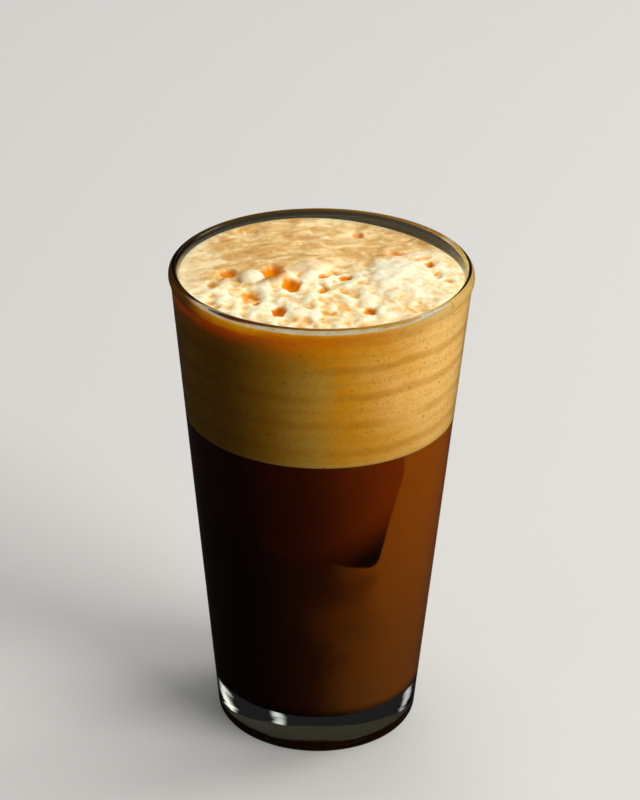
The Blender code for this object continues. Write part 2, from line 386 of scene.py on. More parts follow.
class Paint(Wiring):
    """One material in the making: its Principled shader, and the patterns that dress a piece."""

    def __init__(self, name: str, effects: SharedEffects | None = None) -> None:
        """Starts a material.

        Args:
            name: the material's name.
            effects: the shared surface effects, where the material uses them.
        """
        self.material = bpy.data.materials.new(name)
        self.material.use_nodes = True
        super().__init__(self.material.node_tree)
        self.effects = effects
        self.shader = self.tree.nodes["Principled BSDF"]
        self.output = self.tree.nodes["Material Output"]

    @cached_property
    def place(self) -> Socket:
        """The point on the piece, in metres."""
        return self.add("ShaderNodeTexCoord").outputs["Object"]

    @cached_property
    def axes(self) -> bpy.types.NodeOutputs:
        """The same point's X, Y and Z, each as a number."""
        return self.add("ShaderNodeSeparateXYZ", {0: self.place}).outputs

    def dress(self, **inputs: object) -> None:
        """Gives the Principled shader's inputs a link or a value, with _ for a space in a name."""
        self.fill(self.shader, {name.replace("_", " "): value for name, value in inputs.items()})

    def attribute(self, name: str) -> Socket:
        """Reads a number that the mesh stores for each vertex."""
        return self.add("ShaderNodeAttribute", attribute_name=name).outputs["Fac"]

    def turned(self, turn: float, stretch: tuple[float, float, float]) -> Socket:
        """Turns a pattern about Z and stretches it.

        Args:
            turn: how far the pattern is turned, in radians.
            stretch: how much longer it is along each of its own axes.

        Returns:
            The point in the pattern's own axes.
        """
        inputs = {"Vector": self.place, "Rotation": (0.0, 0.0, turn), "Scale": stretch}
        return self.add("ShaderNodeMapping", inputs, vector_type="TEXTURE").outputs["Vector"]

    def noise(
        self, size: float, detail: float = 2.0, distortion: float = 0.0, at: Socket | None = None
    ) -> Socket:
        """Adds soft noise.

        Args:
            size: how long one swing of it is, in metres.
            detail: how many finer layers it has.
            distortion: how far it is stirred.
            at: the point that it reads, where that isn't simply the point on the piece.

        Returns:
            A number about 0.5.
        """
        point = self.place if at is None else at
        inputs = {"Vector": point, "Scale": 1.0 / size, "Detail": detail, "Distortion": distortion}
        return self.add("ShaderNodeTexNoise", inputs).outputs["Fac"]

    def ramp(self, value: Socket, stops: tuple[tuple[float, Colour], ...]) -> Socket:
        """Turns a number into a colour.

        Args:
            value: the number, from 0 to 1.
            stops: the places on it that have a colour of their own, in rising order.

        Returns:
            The colour.
        """
        node = self.add("ShaderNodeValToRGB", {"Fac": value})
        elements = node.color_ramp.elements
        elements.remove(elements[1])
        elements[0].position, elements[0].color = stops[0]
        for position, colour in stops[1:]:
            elements.new(position).color = colour
        return node.outputs["Color"]

    def smears(self, per_metre: float, low: float, high: float) -> Socket:
        """Places the shared smears: how many there are to a metre, and the noise at which they run."""
        inputs = {"Place": self.place, "Per Metre": per_metre, "Low": low, "High": high}
        return self.add("ShaderNodeGroup", inputs, node_tree=self.effects.smears).outputs["Mask"]

    def bubbles(self, per_metre: float, share: float) -> bpy.types.NodeOutputs:
        """Places the shared bubbles: how many cells there are to a metre, and the share that is filled."""
        inputs = {"Place": self.place, "Per Metre": per_metre, "Share": share}
        return self.add("ShaderNodeGroup", inputs, node_tree=self.effects.bubbles).outputs

    def bump(self, height: Socket, strength: float, distance: float) -> Socket:
        """Turns a pattern's heights into the normal of a surface that is raised by up to a distance."""
        inputs = {"Strength": strength, "Distance": distance, "Height": height}
        return self.add("ShaderNodeBump", inputs).outputs["Normal"]

    def let_light_through(self) -> None:
        """Lets the lights shine straight through a clear piece, which otherwise bends what is seen."""
        clear = self.add("ShaderNodeBsdfTransparent").outputs[0]
        shadow = self.add("ShaderNodeLightPath").outputs["Is Shadow Ray"]
        mixed = self.add("ShaderNodeMixShader", {0: shadow, 1: self.shader.outputs[0], 2: clear})
        self.fill(self.output, {"Surface": mixed.outputs[0]})


@dataclass(frozen=True)
class GlassFinish:
    """Clear glass with faint drawing marks, a few smears and ripples, greyer where it is thick, and darker
    at the rim: partly the thick glass's tint, partly painted shade.
    """

    tint: Colour = (0.985, 0.995, 0.985, 1.0)
    # A darker tint at the rim, where the glass is thick, deepened as painted shade.
    rim_tint_and_shade: Colour = (0.62, 0.62, 0.58, 1.0)
    rim_heights: Span = (144.8 * MM, 146.0 * MM)
    depth_tint: Colour = (0.62, 0.66, 0.57, 1.0)
    depth_density: float = 18.0
    index: float = 1.5
    smear_roughness: float = 0.035
    drawn_stretch: tuple[float, float, float] = (1.0, 1.0, 9.0)
    ripple_heights: Span = (14.0 * MM, 12.0 * MM)
    ripple_share: float = 7.0

    def material(self, effects: SharedEffects) -> bpy.types.Material:
        """Builds the finish.

        Args:
            effects: the shared surface effects.

        Returns:
            The material.
        """
        paint = Paint("clear_glass", effects)
        in_rim = paint.step(paint.axes["Z"], *self.rim_heights)
        in_base = paint.step(paint.axes["Z"], *self.ripple_heights)
        drawn = paint.noise(size=14.0 * MM, detail=1.0, at=paint.turned(0.0, self.drawn_stretch))
        ripples = paint.times(paint.noise(size=8.0 * MM, detail=1.5), in_base)
        waves = paint.line(ripples, self.ripple_share, drawn)
        smears = paint.smears(per_metre=55.0, low=0.6, high=0.85)
        paint.dress(
            # The rim's darker tint is partly painted shade.
            Base_Color=paint.mix(in_rim, self.tint, self.rim_tint_and_shade),
            Transmission_Weight=1.0,
            IOR=self.index,
            Roughness=paint.times(smears, self.smear_roughness),
            Normal=paint.bump(waves, strength=0.25, distance=0.05 * MM),
        )
        paint.let_light_through()
        depth = {"Color": self.depth_tint, "Density": self.depth_density}
        inside = paint.add("ShaderNodeVolumeAbsorption", depth)
        paint.fill(paint.output, {"Volume": inside.outputs[0]})
        return paint.material


@dataclass(frozen=True)
class DrinkFinish:
    """Cloudy coffee: warm brown at the upper right as painted light, deeper to the left as painted shade,
    darker below, and dark over the ice as painted shade.

    A span holds the place where a smooth step starts and the place where it ends. Seen through the
    glass's base, the flat underside mirrors the glass below it where light strikes it too flatly to
    pass from the glass into the drink, which bends light less than glass does.
    """

    # Painted light: the colour of the lit right side, brighter at the top and darker towards the bottom.
    upper: Colour = (0.270, 0.066, 0.002, 1.0)
    lower: Colour = (0.150, 0.045, 0.005, 1.0)
    lit_heights: Span = (15.0 * MM, 100.0 * MM)
    lit_span: Span = (-3.5 * MM, 20.0 * MM)
    lit_drift: float = 10.0 * MM
    # Painted shade: the colour of the left side, away from the light.
    deep: Colour = (0.040, 0.0070, 0.0006, 1.0)
    deep_top: Colour = (0.080, 0.009, 0.0010, 1.0)
    deep_heights: Span = (60.0 * MM, 100.0 * MM)
    # Painted shade where the ice lies close behind the wall, deeper to the left.
    ice_shade: Colour = (0.180, 0.024, 0.0004, 1.0)
    ice_shade_deep: Colour = (0.068, 0.0085, 0.0004, 1.0)
    ice_shade_span: Span = (-4.0 * MM, 22.0 * MM)
    ice_shares: Span = (0.04, 0.28)
    # Painted shade, darkest at the ice's lower corner.
    corner_shade: Colour = (0.008, 0.0016, 0.0004, 1.0)
    corner_slope: float = 0.62
    corner_span: Span = (77.0 * MM, 60.0 * MM)
    shade: Colour = (0.085, 0.013, 0.0006, 1.0)
    shade_weight: float = 0.8
    shade_slope: float = 0.5
    shade_span: Span = (-12.0 * MM, -18.0 * MM)
    shade_foot: Span = (42.0 * MM, 60.0 * MM)
    shade_head: Span = (67.0 * MM, 61.0 * MM)
    underside: Colour = (0.42, 0.150, 0.020, 1.0)
    underside_heights: Span = (12.6 * MM, 12.2 * MM)
    index: float = 1.33
    index_from_glass: float = 0.887
    roughness: float = 0.4
    underside_roughness: float = 0.08
    glow_radius: tuple[float, float, float] = (1.0, 0.30, 0.08)
    glow_reach: float = 3.0 * MM

    def material(self, effects: SharedEffects) -> bpy.types.Material:
        """Builds the finish.

        Args:
            effects: the shared surface effects.

        Returns:
            The material.
        """
        paint = Paint("cloudy_coffee", effects)
        with_ice = self._with_ice(paint, self._body(paint))
        below = paint.step(paint.axes["Z"], *self.underside_heights)
        waves = paint.times(paint.noise(size=5.0 * MM), below)
        paint.dress(
            Base_Color=paint.mix(below, with_ice, self.underside),
            IOR=paint.line(below, self.index_from_glass - self.index, self.index),
            Specular_IOR_Level=paint.times(below, 0.5),
            Roughness=paint.line(below, self.underside_roughness - self.roughness, self.roughness),
            Normal=paint.bump(waves, strength=0.5, distance=0.15 * MM),
            Subsurface_Weight=1.0,
            Subsurface_Radius=self.glow_radius,
            Subsurface_Scale=self.glow_reach,
        )
        return paint.material

    def _body(self, paint: Paint) -> Socket:
        """Colours the drink, with its clouds, painted light on its right and painted shade to its left and
        under the ice.

        Args:
            paint: the drink's material.

        Returns:
            The drink's colour, as if the ice itself weren't seen.
        """
        x, z = paint.axes["X"], paint.axes["Z"]
        clouds = paint.smears(per_metre=38.0, low=0.3, high=0.75)
        # Painted light and shade: the lit colour to the right, the deep colour to the left, with an edge
        # that the clouds move.
        drifted = paint.math("ADD", x, paint.line(clouds, self.lit_drift, -0.5 * self.lit_drift))
        share = paint.step(drifted, *self.lit_span)
        lit = paint.mix(paint.step(z, *self.lit_heights), self.lower, self.upper)
        deep = paint.mix(paint.step(z, *self.deep_heights), self.deep, self.deep_top)
        beside = paint.step(paint.line(z, -self.shade_slope, x), *self.shade_span)
        under = paint.times(paint.step(z, *self.shade_foot), paint.step(z, *self.shade_head))
        shaded = paint.times(beside, under, share, self.shade_weight)
        return paint.mix(shaded, paint.mix(share, deep, lit), self.shade)

    def _with_ice(self, paint: Paint, body: Socket) -> Socket:
        """Paints shade on the drink where the ice lies behind its wall, darkest at the ice's lower corner.

        Args:
            paint: the drink's material.
            body: the drink's own colour.

        Returns:
            The colour with the ice in it.
        """
        # Painted shade where the ice lies behind the wall.
        over = paint.step(paint.attribute("ice"), *self.ice_shares)
        along = paint.step(paint.axes["X"], *self.ice_shade_span)
        with_ice = paint.mix(over, body, paint.mix(along, self.ice_shade_deep, self.ice_shade))
        # Painted shade, deepest at the ice's lower corner.
        rise = paint.line(paint.axes["X"], -self.corner_slope, paint.axes["Z"])
        corner = paint.step(rise, *self.corner_span)
        return paint.mix(paint.times(over, corner), with_ice, self.corner_shade)


@dataclass(frozen=True)
class FoamFinish:
    """Coffee foam: cream on its puffs, orange in its hollows, and golden with rings at the wall, with
    painted light and shade on its side and painted shade on the crater's lip.

    A span holds the place where a smooth step starts and the place where it ends.
    """

    stops: tuple[tuple[float, Colour], ...] = (
        (0.0, (0.97, 0.85, 0.60, 1.0)),
        (0.32, (0.90, 0.70, 0.38, 1.0)),
        (0.58, (0.84, 0.57, 0.24, 1.0)),
        (0.80, (0.78, 0.43, 0.10, 1.0)),
        (1.0, (0.72, 0.30, 0.030, 1.0)),
    )
    calm_stops: tuple[tuple[float, Colour], ...] = (
        (0.0, (0.89, 0.70, 0.38, 1.0)),
        (0.45, (0.68, 0.44, 0.17, 1.0)),
        (1.0, (0.50, 0.24, 0.050, 1.0)),
    )
    streak_turn: float = math.radians(27.0)
    streak_stretch: tuple[float, float, float] = (2.1, 1.0, 1.0)
    mound_colour: Colour = (0.98, 0.85, 0.61, 1.0)
    # Painted shade on the crater's curled lip, whose face is turned from the light.
    lip_shade_colour: Colour = (0.34, 0.18, 0.06, 1.0)
    pit_colour: Colour = (0.81, 0.28, 0.001, 1.0)
    left_colour: Colour = (0.86, 0.71, 0.43, 1.0)
    left_span: Span = (-29.0 * MM, -38.0 * MM)
    side_gold: Colour = (0.78, 0.385, 0.009, 1.0)
    side_drift: float = 24.0 * MM
    # Painted light: the side is paler to the right, where the light falls.
    side_lit_pale: Colour = (0.92, 0.63, 0.23, 1.0)
    side_lit_span: Span = (4.0 * MM, 34.0 * MM)
    # Painted shade: the side is deeper to the left, away from the light.
    side_shaded: Colour = (0.66, 0.34, 0.018, 1.0)
    side_shaded_span: Span = (3.0 * MM, -8.0 * MM)
    side_grey: Colour = (0.70, 0.46, 0.085, 1.0)
    grey_middle: float = -3.5 * MM
    grey_span: Span = (10.0 * MM, 3.0 * MM)
    grey_heights: Span = (139.0 * MM, 133.0 * MM)
    side_low: Colour = (0.50, 0.28, 0.03, 1.0)
    low_heights: Span = (128.0 * MM, 106.0 * MM)
    orange_heights: Span = (138.0 * MM, 150.5 * MM)
    orange_span: Span = (24.0 * MM, -12.0 * MM)
    orange_depths: Span = (10.0 * MM, -12.0 * MM)
    # Orange of the wet foam under the rim, made brighter as a painted glow of light through the foam.
    side_orange_glow: Colour = (0.90, 0.37, 0.003, 1.0)
    wet_orange: Colour = (0.60, 0.20, 0.002, 1.0)
    wet_heights: Span = (142.0 * MM, 145.5 * MM)
    wet_span: Span = (-24.0 * MM, -8.0 * MM)
    # Painted shade: dark at the top of the side on the left, away from the light.
    left_rim_shade: Colour = (0.16, 0.07, 0.004, 1.0)
    left_rim_shade_heights: Span = (143.0 * MM, 145.4 * MM)
    left_rim_shade_span: Span = (-26.0 * MM, -38.0 * MM)
    ring_colour: Colour = (0.52, 0.235, 0.009, 1.0)
    ring_spacing: float = 9.07 * MM
    ring_height: float = 110.8 * MM
    dot_colour: Colour = (0.36, 0.14, 0.012, 1.0)
    foot_colour: Colour = (0.78, 0.44, 0.11, 1.0)
    foot_heights: Span = (104.8 * MM, 103.7 * MM)
    # Pale froth at the top of the side, made pale also as a painted highlight that the rim's bead shows.
    froth_and_highlight_colour: Colour = (0.62, 0.47, 0.35, 1.0)
    froth_heights: Span = (146.55 * MM, 146.95 * MM)
    glow_radius: tuple[float, float, float] = (1.0, 0.85, 0.7)
    glow_reach: float = 2.4 * MM
    top_reach: float = 3.8 * MM
    orange_reach: float = 12.0 * MM
    dense_reach: float = 0.5 * MM

    def material(self, effects: SharedEffects) -> bpy.types.Material:
        """Builds the finish.

        Args:
            effects: the shared surface effects.

        Returns:
            The material.
        """
        paint = Paint("coffee_foam", effects)
        orange = self._orange(paint)
        on_side = paint.attribute("side")
        dense = paint.math("MAXIMUM", paint.attribute("pit"), paint.attribute("lip"))
        reach = paint.line(on_side, self.glow_reach - self.top_reach, self.top_reach)
        reach = paint.line(paint.times(orange, on_side), self.orange_reach - self.glow_reach, reach)
        reach = paint.line(dense, self.dense_reach - self.top_reach, reach)
        rims = paint.bubbles(per_metre=900.0, share=0.35)["Rim"]
        paint.dress(
            Base_Color=paint.mix(on_side, self._top(paint), self._side(paint, orange)),
            Roughness=0.5,
            Specular_IOR_Level=0.2,
            Subsurface_Weight=1.0,
            Subsurface_Radius=self.glow_radius,
            Subsurface_Scale=reach,
            Normal=paint.bump(rims, strength=0.2, distance=0.1 * MM),
        )
        return paint.material

    def _top(self, paint: Paint) -> Socket:
        """Colours the open top by how deep each point lies, with streaks where the foam is calm.

        Args:
            paint: the foam's material.

        Returns:
            The top's colour.
        """
        patches = paint.math("SUBTRACT", paint.noise(size=4.8 * MM, detail=3.0, distortion=0.8), 0.5)
        specks = paint.math("SUBTRACT", paint.noise(size=1.8 * MM, detail=3.0), 0.5)
        level = paint.line(patches, 1.9, paint.attribute("hollow"))
        broken = paint.ramp(paint.line(specks, 0.6, level), self.stops)
        drawn_out = paint.turned(self.streak_turn, self.streak_stretch)
        streaks = paint.noise(size=4.0 * MM, detail=5.0, distortion=0.8, at=drawn_out)
        level = paint.line(patches, 0.9, paint.line(streaks, 2.1, -0.60))
        calm = paint.ramp(paint.line(specks, 0.5, level), self.calm_stops)
        left = paint.step(paint.line(patches, 30.0 * MM, paint.axes["X"]), *self.left_span)
        calm = paint.mix(paint.times(left, 0.6), calm, self.left_colour)
        colour = paint.mix(paint.attribute("calm"), broken, calm)
        froth = paint.math("SUBTRACT", paint.noise(size=2.4 * MM, detail=4.0, distortion=0.6), 0.5)
        mound = paint.step(paint.line(froth, -2.4, paint.attribute("pale")), 0.15, 0.95)
        colour = paint.mix(mound, colour, self.mound_colour)
        # Painted shade on the crater's lip.
        colour = paint.mix(paint.attribute("lip"), colour, self.lip_shade_colour)
        return paint.mix(paint.attribute("pit"), colour, self.pit_colour)

    def _orange(self, paint: Paint) -> Socket:
        """Marks the wetter, orange foam under the rim, at the front and on the left; its orange is also
        painted as a glow of light through the foam.

        Args:
            paint: the foam's material.

        Returns:
            How wet the foam is, from 0 to 1.
        """
        x, y, z = (paint.axes[name] for name in "XYZ")
        wobble = paint.times(paint.noise(size=16.0 * MM, detail=3.0, distortion=0.5), 8.0 * MM)
        high = paint.step(paint.math("ADD", z, wobble), *self.orange_heights)
        away = paint.step(x, *self.orange_span)
        return paint.times(high, away, paint.step(y, *self.orange_depths), 0.9)

    def _side(self, paint: Paint, orange: Socket) -> Socket:
        """Colours the side that is pressed against the glass.

        Args:
            paint: the foam's material.
            orange: how wet and orange the foam is.

        Returns:
            The side's colour.
        """
        colour = self._ringed(paint, self._gold(paint))
        colour = self._wetted(paint, orange, colour)
        foot = paint.step(paint.axes["Z"], *self.foot_heights)
        colour = paint.mix(paint.times(foot, 0.6), colour, self.foot_colour)
        for per_metre, share, weight in ((700.0, 0.20, 0.55), (1300.0, 0.5, 0.35)):
            bubbles = paint.bubbles(per_metre, share)
            dots = paint.math("ADD", bubbles["Fill"], bubbles["Rim"])
            colour = paint.mix(paint.times(dots, weight), colour, self.dot_colour)
        return colour

    def _gold(self, paint: Paint) -> Socket:
        """Gives the side its gold: paler to the right as painted light, deeper to the left as painted shade,
        also deeper low down and greyer in front.

        Args:
            paint: the foam's material.

        Returns:
            The plain colour of the side.
        """
        x, z = paint.axes["X"], paint.axes["Z"]
        drift = paint.noise(size=14.0 * MM, detail=3.0, distortion=0.6)
        drifted = paint.math("ADD", x, paint.line(drift, self.side_drift, -0.5 * self.side_drift))
        # Painted light paler to the right, painted shade deeper to the left.
        colour = paint.mix(paint.step(drifted, *self.side_lit_span), self.side_gold, self.side_lit_pale)
        colour = paint.mix(paint.step(drifted, *self.side_shaded_span), colour, self.side_shaded)
        clouds = paint.smears(per_metre=75.0, low=0.40, high=0.65)
        from_middle = paint.math("ABSOLUTE", paint.math("SUBTRACT", x, self.grey_middle))
        inside = paint.times(paint.step(from_middle, *self.grey_span), paint.step(z, *self.grey_heights))
        colour = paint.mix(paint.times(inside, paint.line(clouds, 0.6, 0.4)), colour, self.side_grey)
        low = paint.times(paint.step(z, *self.low_heights), 0.28)
        return paint.mix(low, colour, self.side_low)

    def _ringed(self, paint: Paint, colour: Socket) -> Socket:
        """Draws the soft rings round the side, with fainter ones between them, and its fine grain.

        Args:
            paint: the foam's material.
            colour: the plain colour of the side.

        Returns:
            The colour with rings and grain.
        """
        level = paint.line(paint.noise(size=22.0 * MM), 4.0 * MM, paint.axes["Z"])
        level = paint.line(paint.noise(size=5.0 * MM), 1.2 * MM, level)
        per_metre = math.tau / self.ring_spacing
        phase = paint.line(level, per_metre, -self.ring_height * per_metre)
        ring = paint.step(paint.math("COSINE", phase), 0.3, 1.0)
        between = paint.step(paint.math("COSINE", paint.times(phase, 2.0)), 0.3, 1.0)
        ring = paint.math("MAXIMUM", ring, paint.times(between, 0.35))
        uneven = paint.step(paint.noise(size=20.0 * MM, detail=1.0), 0.35, 0.60)
        colour = paint.mix(paint.times(ring, paint.line(uneven, 0.32, 0.14)), colour, self.ring_colour)
        speckle = paint.step(paint.noise(size=0.9 * MM, detail=3.0), 0.52, 0.80)
        colour = paint.mix(paint.times(speckle, 0.6), colour, self.ring_colour)
        mottle = paint.step(paint.noise(size=2.6 * MM, detail=3.0), 0.5, 0.75)
        return paint.mix(paint.times(mottle, 0.35), colour, self.side_grey)

    def _wetted(self, paint: Paint, orange: Socket, colour: Socket) -> Socket:
        """Colours the wet foam under the rim: orange with a painted glow, painted shade at its top on the
        left, and its froth, pale also as a painted highlight.

        Args:
            paint: the foam's material.
            orange: how wet and orange the foam is.
            colour: the colour of the dry foam.

        Returns:
            The colour of the whole side.
        """
        x, z = paint.axes["X"], paint.axes["Z"]
        # Wet orange foam, brightened as a painted glow.
        colour = paint.mix(orange, colour, self.side_orange_glow)
        wet = paint.times(orange, paint.step(z, *self.wet_heights), paint.step(x, *self.wet_span), 0.8)
        colour = paint.mix(wet, colour, self.wet_orange)
        # Painted shade at the top of the side on the left.
        left_rim_shaded = paint.times(paint.step(z, *self.left_rim_shade_heights), paint.step(x, *self.left_rim_shade_span))
        colour = paint.mix(left_rim_shaded, colour, self.left_rim_shade)
        # Pale froth at the top edge, also a painted highlight seen through the rim's bead.
        return paint.mix(paint.step(z, *self.froth_heights), colour, self.froth_and_highlight_colour)


@dataclass(frozen=True)
class IceFinish:
    """Clear ice with a wet surface, rougher in cracked patches."""

    tint: Colour = (0.93, 0.96, 0.97, 1.0)
    index: float = 1.31

    def material(self, effects: SharedEffects) -> bpy.types.Material:
        """Builds the finish.

        Args:
            effects: the shared surface effects.

        Returns:
            The material.
        """
        paint = Paint("ice", effects)
        cracks = paint.smears(per_metre=120.0, low=0.5, high=0.7)
        paint.dress(
            Base_Color=self.tint,
            Transmission_Weight=1.0,
            IOR=self.index,
            Roughness=paint.times(cracks, 0.3),
            Normal=paint.bump(cracks, strength=0.4, distance=0.2 * MM),
        )
        paint.let_light_through()
        return paint.material


@dataclass(frozen=True)
class PintGlass:
    """The turned glass: beaded rim, straight tapered wall, heavy base and rounded heel."""

    finish: GlassFinish
    height: float = 149.2 * MM
    rim_radius: float = 44.45 * MM
    foot_wall_radius: float = 30.38 * MM
    neck_wall_radius: float = 43.75 * MM
    neck_height: float = 145.0 * MM
    neck_gap: float = 0.3 * MM
    heel_height: float = 3.2 * MM
    heel_width: float = 3.4 * MM
    bead_width: float = 2.9 * MM
    bead_height: float = 4.2 * MM
    bead_start: float = math.radians(-60.0)
    ring_width: float = 2.8 * MM
    recess_depth: float = 1.3 * MM
    recess_slope: float = 3.0 * MM
    wall_at_neck: float = 2.4 * MM
    wall_at_floor: float = 3.0 * MM
    floor_height: float = 12.0 * MM
    corner_radius: float = 6.0 * MM
    round_steps: int = 288
    fine_steps: int = 28
    wall_rows: int = 14

    def outer_radius(self, height: float) -> float:
        """Gives the outer wall's radius at a height."""
        taper = (self.neck_wall_radius - self.foot_wall_radius) / self.neck_height
        return self.foot_wall_radius + taper * height

    def inner_radius(self, height: float) -> float:
        """Gives the inner wall's radius at a height: the wall thins evenly towards the neck."""
        share = (height - self.floor_height) / (self.neck_height - self.floor_height)
        thickness = self.wall_at_floor + (self.wall_at_neck - self.wall_at_floor) * share
        return self.outer_radius(height) - thickness

    def corner(self, bite: float) -> Outline:
        """Draws the round between the inner wall and the floor.

        Args:
            bite: how far the outline reaches into the glass.

        Returns:
            The points from the wall down to the floor.
        """
        middle = self.floor_height + self.corner_radius
        centre = (self.inner_radius(middle) - self.corner_radius, middle)
        size = self.corner_radius + bite
        return arc(centre, (size, size), 0.0, -math.pi / 2.0, self.fine_steps // 2)

    def _underside(self) -> Outline:
        """Draws the shallow recess under the glass, from its middle to the ring that it stands on."""
        ring_outer = self.outer_radius(self.heel_height) - self.heel_width
        ring_inner = ring_outer - self.ring_width
        points = [(0.0, self.recess_depth)]
        steps = self.fine_steps // 2
        for step in range(steps + 1):
            share = step / steps
            radius = ring_inner - self.recess_slope * (1.0 - share)
            points.append((radius, self.recess_depth * (1.0 - smooth(0.0, 1.0, share))))
        return points

    def profile(self) -> Outline:
        """Draws the whole outline, from the middle of the underside round to the floor's middle."""
        heel_centre = (self.outer_radius(self.heel_height) - self.heel_width, self.heel_height)
        heel_sizes = (self.heel_width, self.heel_height)
        heel = arc(heel_centre, heel_sizes, -math.pi / 2.0, 0.0, self.fine_steps // 2)
        neck = self.neck_height - self.neck_gap
        neck_outside = (self.outer_radius(neck), neck)
        bead_centre = (self.rim_radius - self.bead_width / 2.0, self.height - self.bead_height / 2.0)
        bead_sizes = (self.bead_width / 2.0, self.bead_height / 2.0)
        bead = arc(bead_centre, bead_sizes, self.bead_start, math.pi, self.fine_steps)
        neck_inside = (self.inner_radius(self.neck_height), self.neck_height)
        corner = self.corner(0.0)
        outside = rows_between(heel[-1], neck_outside, self.wall_rows)
        inside = rows_between(neck_inside, corner[0], self.wall_rows)
        base = self._underside() + heel + outside + [neck_outside]
        return base + bead + [neck_inside] + inside + corner + [(0.0, self.floor_height)]

    def build(self, effects: SharedEffects) -> bpy.types.Object:
        """Makes the glass in place of its solid.

        Args:
            effects: the shared surface effects.

        Returns:
            The glass.
        """
        shape = turn_profile(self.profile(), self.round_steps)
        piece = place_piece("pint_glass", shape, self.finish.material(effects))
        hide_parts("glass")
        return piece


@dataclass(frozen=True)
class IceCube:
    """One ice cube, sunk in the drink with its lower front corner close to the wall."""

    finish: IceFinish
    corner: Vector = Vector((16.2, -28.6, 66.9)) * MM
    leftward: Vector = Vector((-0.978, 0.101, 0.179))
    upward: Vector = Vector((0.193, 0.151, 0.969))
    size: Vector = Vector((31.0, 30.0, 35.0)) * MM
    back_inset: float = 11.0 * MM
    melt_radius: float = 2.2 * MM
    melt_reach: float = 0.7 * MM
    melt_size: float = 12.0 * MM
    cuts: int = 5
    melt_segments: int = 4
    top: float = 102.6 * MM

    def shape(self) -> bmesh.types.BMesh:
        """Shapes the cube: narrower at its back, rounded by melting, and flat where it meets the foam.

        Returns:
            The closed shape.
        """
        backward = self.leftward.cross(self.upward).normalized()
        shape = bmesh.new()
        bmesh.ops.create_cube(shape, size=1.0)
        turn = Matrix((self.leftward, backward, self.upward)).transposed()
        bmesh.ops.scale(shape, vec=self.size, verts=shape.verts[:])
        bmesh.ops.translate(shape, vec=0.5 * self.size, verts=shape.verts[:])
        for corner in shape.verts:
            if corner.co.y > 0.5 * self.size.y:
                corner.co.x = self.back_inset + corner.co.x * (1.0 - self.back_inset / self.size.x)
        bmesh.ops.bevel(
            shape,
            geom=shape.edges[:],
            offset=self.melt_radius,
            offset_type="OFFSET",
            segments=self.melt_segments,
            profile=0.5,
            affect="EDGES",
            material=-1,
        )
        bmesh.ops.subdivide_edges(shape, edges=shape.edges[:], cuts=self.cuts, use_grid_fill=True)
        bmesh.ops.transform(shape, matrix=turn.to_4x4(), verts=shape.verts[:])
        bmesh.ops.translate(shape, vec=self.corner, verts=shape.verts[:])
        for corner in shape.verts:
            corner.co += noise.noise_vector(corner.co / self.melt_size) * self.melt_reach
        bmesh.ops.bisect_plane(
            shape,
            geom=shape.verts[:] + shape.edges[:] + shape.faces[:],
            plane_co=(0.0, 0.0, self.top),
            plane_no=(0.0, 0.0, 1.0),
            clear_outer=True,
        )
        open_edges = [edge for edge in shape.edges if edge.is_boundary]
        bmesh.ops.contextual_create(shape, geom=open_edges)
        return shape

    def build(self, effects: SharedEffects) -> bpy.types.Object:
        """Makes the ice cube.

        Args:
            effects: the shared surface effects.

        Returns:
            The ice cube.
        """
        return place_piece("ice_cube", self.shape(), self.finish.material(effects))


